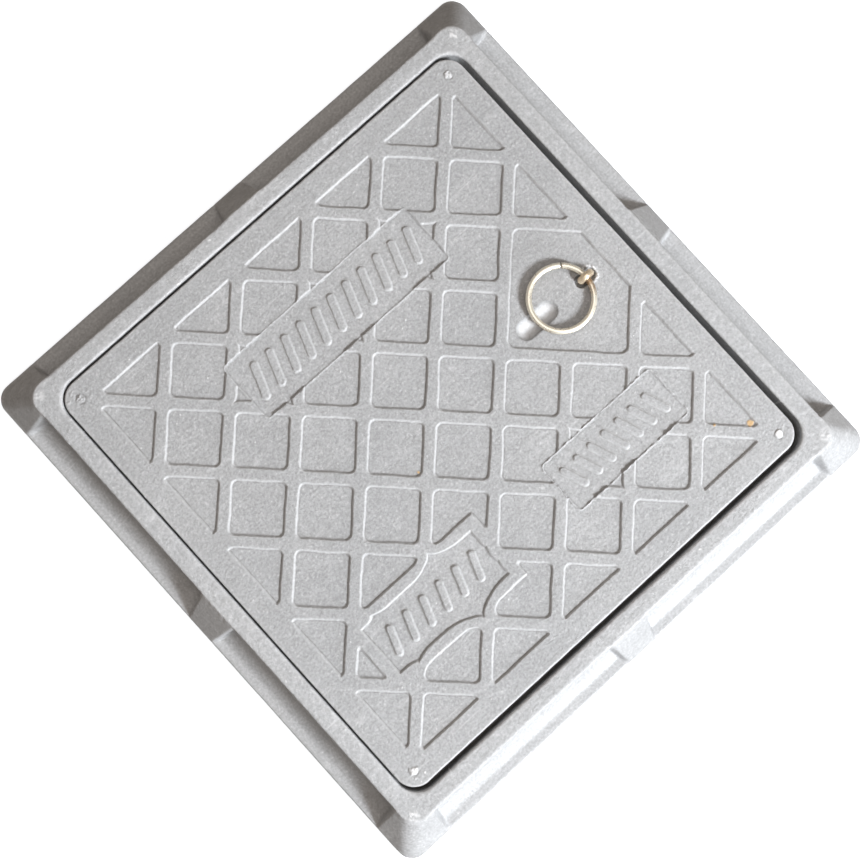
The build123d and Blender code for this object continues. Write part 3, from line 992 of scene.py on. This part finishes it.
# The ring's painted lit top and painted shaded side colours
dress(make_ring(), plated_wire("ring_plating", (1, 0.95, 0.82, 1), (0.34, 0.26, 0.17, 1), 0.0),
      "pull_ring", "pull_ring")

# ------------------------------------------------------------------ floor, lights and camera
FLOOR_HALF = 6.0


def make_floor():
    """A pale lit table: bright all over, so that only a faint shadow shows on it."""
    corners = [(-FLOOR_HALF, -FLOOR_HALF, 0), (FLOOR_HALF, -FLOOR_HALF, 0),
               (FLOOR_HALF, FLOOR_HALF, 0), (-FLOOR_HALF, FLOOR_HALF, 0)]
    floor = mesh_object("floor", corners, [0, 1, 2, 3], [4])
    floor.location.z = -0.1 * MM
    floor.data.materials.append(floor_paint("floor_paint"))
    floor.visible_diffuse = False
    floor.visible_glossy = False


def area_light(name, towards, distance, elevation, size, power, tint=(1, 1, 1)):
    """A soft box shining on the middle of the cover. towards is the compass turn it stands at."""
    data = bpy.data.lights.new(name, "AREA")
    data.shape, data.energy, data.color = "RECTANGLE", power, tint
    data.size, data.size_y = size
    light = bpy.data.objects.new(name, data)
    turn, rise = math.radians(towards), math.radians(elevation)
    light.location = (distance * math.cos(rise) * math.cos(turn),
                      distance * math.cos(rise) * math.sin(turn), distance * math.sin(rise))
    light.rotation_mode = "QUATERNION"
    light.rotation_quaternion = (-light.location).to_track_quat("-Z", "Y")
    bpy.context.scene.collection.objects.link(light)


def make_world():
    """Dim warm light from all round, with a pale backdrop for the camera alone."""
    world = bpy.data.worlds.new("studio")
    world.use_nodes = True
    tree = world.node_tree
    room = tree.nodes["Background"]
    room.inputs["Color"].default_value = (1, 0.9, 0.81, 1)
    room.inputs["Strength"].default_value = 0.27
    backdrop = tree.nodes.new("ShaderNodeBackground")
    backdrop.inputs["Color"].default_value = (0.93, 0.93, 0.93, 1)
    path = tree.nodes.new("ShaderNodeLightPath")
    mix = tree.nodes.new("ShaderNodeMixShader")
    tree.links.new(path.outputs["Is Camera Ray"], mix.inputs[0])
    tree.links.new(room.outputs[0], mix.inputs[1])
    tree.links.new(backdrop.outputs[0], mix.inputs[2])
    tree.links.new(mix.outputs[0], tree.nodes["World Output"].inputs["Surface"])
    bpy.context.scene.world = world
    bpy.context.scene.view_settings.view_transform = "Standard"


def make_camera():
    """Almost straight above, turned so that the square stands on its corner."""
    data = bpy.data.cameras.new("camera")
    data.sensor_width, data.lens = 36, 61.1
    camera = bpy.data.objects.new("camera", data)
    place = Vector((-64.6, -43.0, 914)) * MM
    aim = Vector((-6.5, -4.7, 34)) * MM
    turn = math.radians(-42.12)
    forward = (aim - place).normalized()
    right = Vector((math.cos(turn), math.sin(turn), 0))
    right = (right - forward * right.dot(forward)).normalized()
    up = right.cross(forward)
    axes = Matrix((right, up, -forward)).transposed().to_4x4()
    camera.matrix_world = Matrix.Translation(place) @ axes
    data.clip_start, data.clip_end = 0.01, 20
    bpy.context.scene.collection.objects.link(camera)
    bpy.context.scene.camera = camera


make_floor()
make_world()
area_light("key_box", -78, 2.6, 38, (0.6, 0.6), 96, (0.95, 0.99, 1.03))
area_light("low_strip", -88, 1.6, 10, (1.2, 0.12), 11, (0.95, 1.0, 1.05))
area_light("overhead_box", 0, 2.2, 90, (1.8, 1.8), 12, (1, 0.93, 0.87))
make_camera()
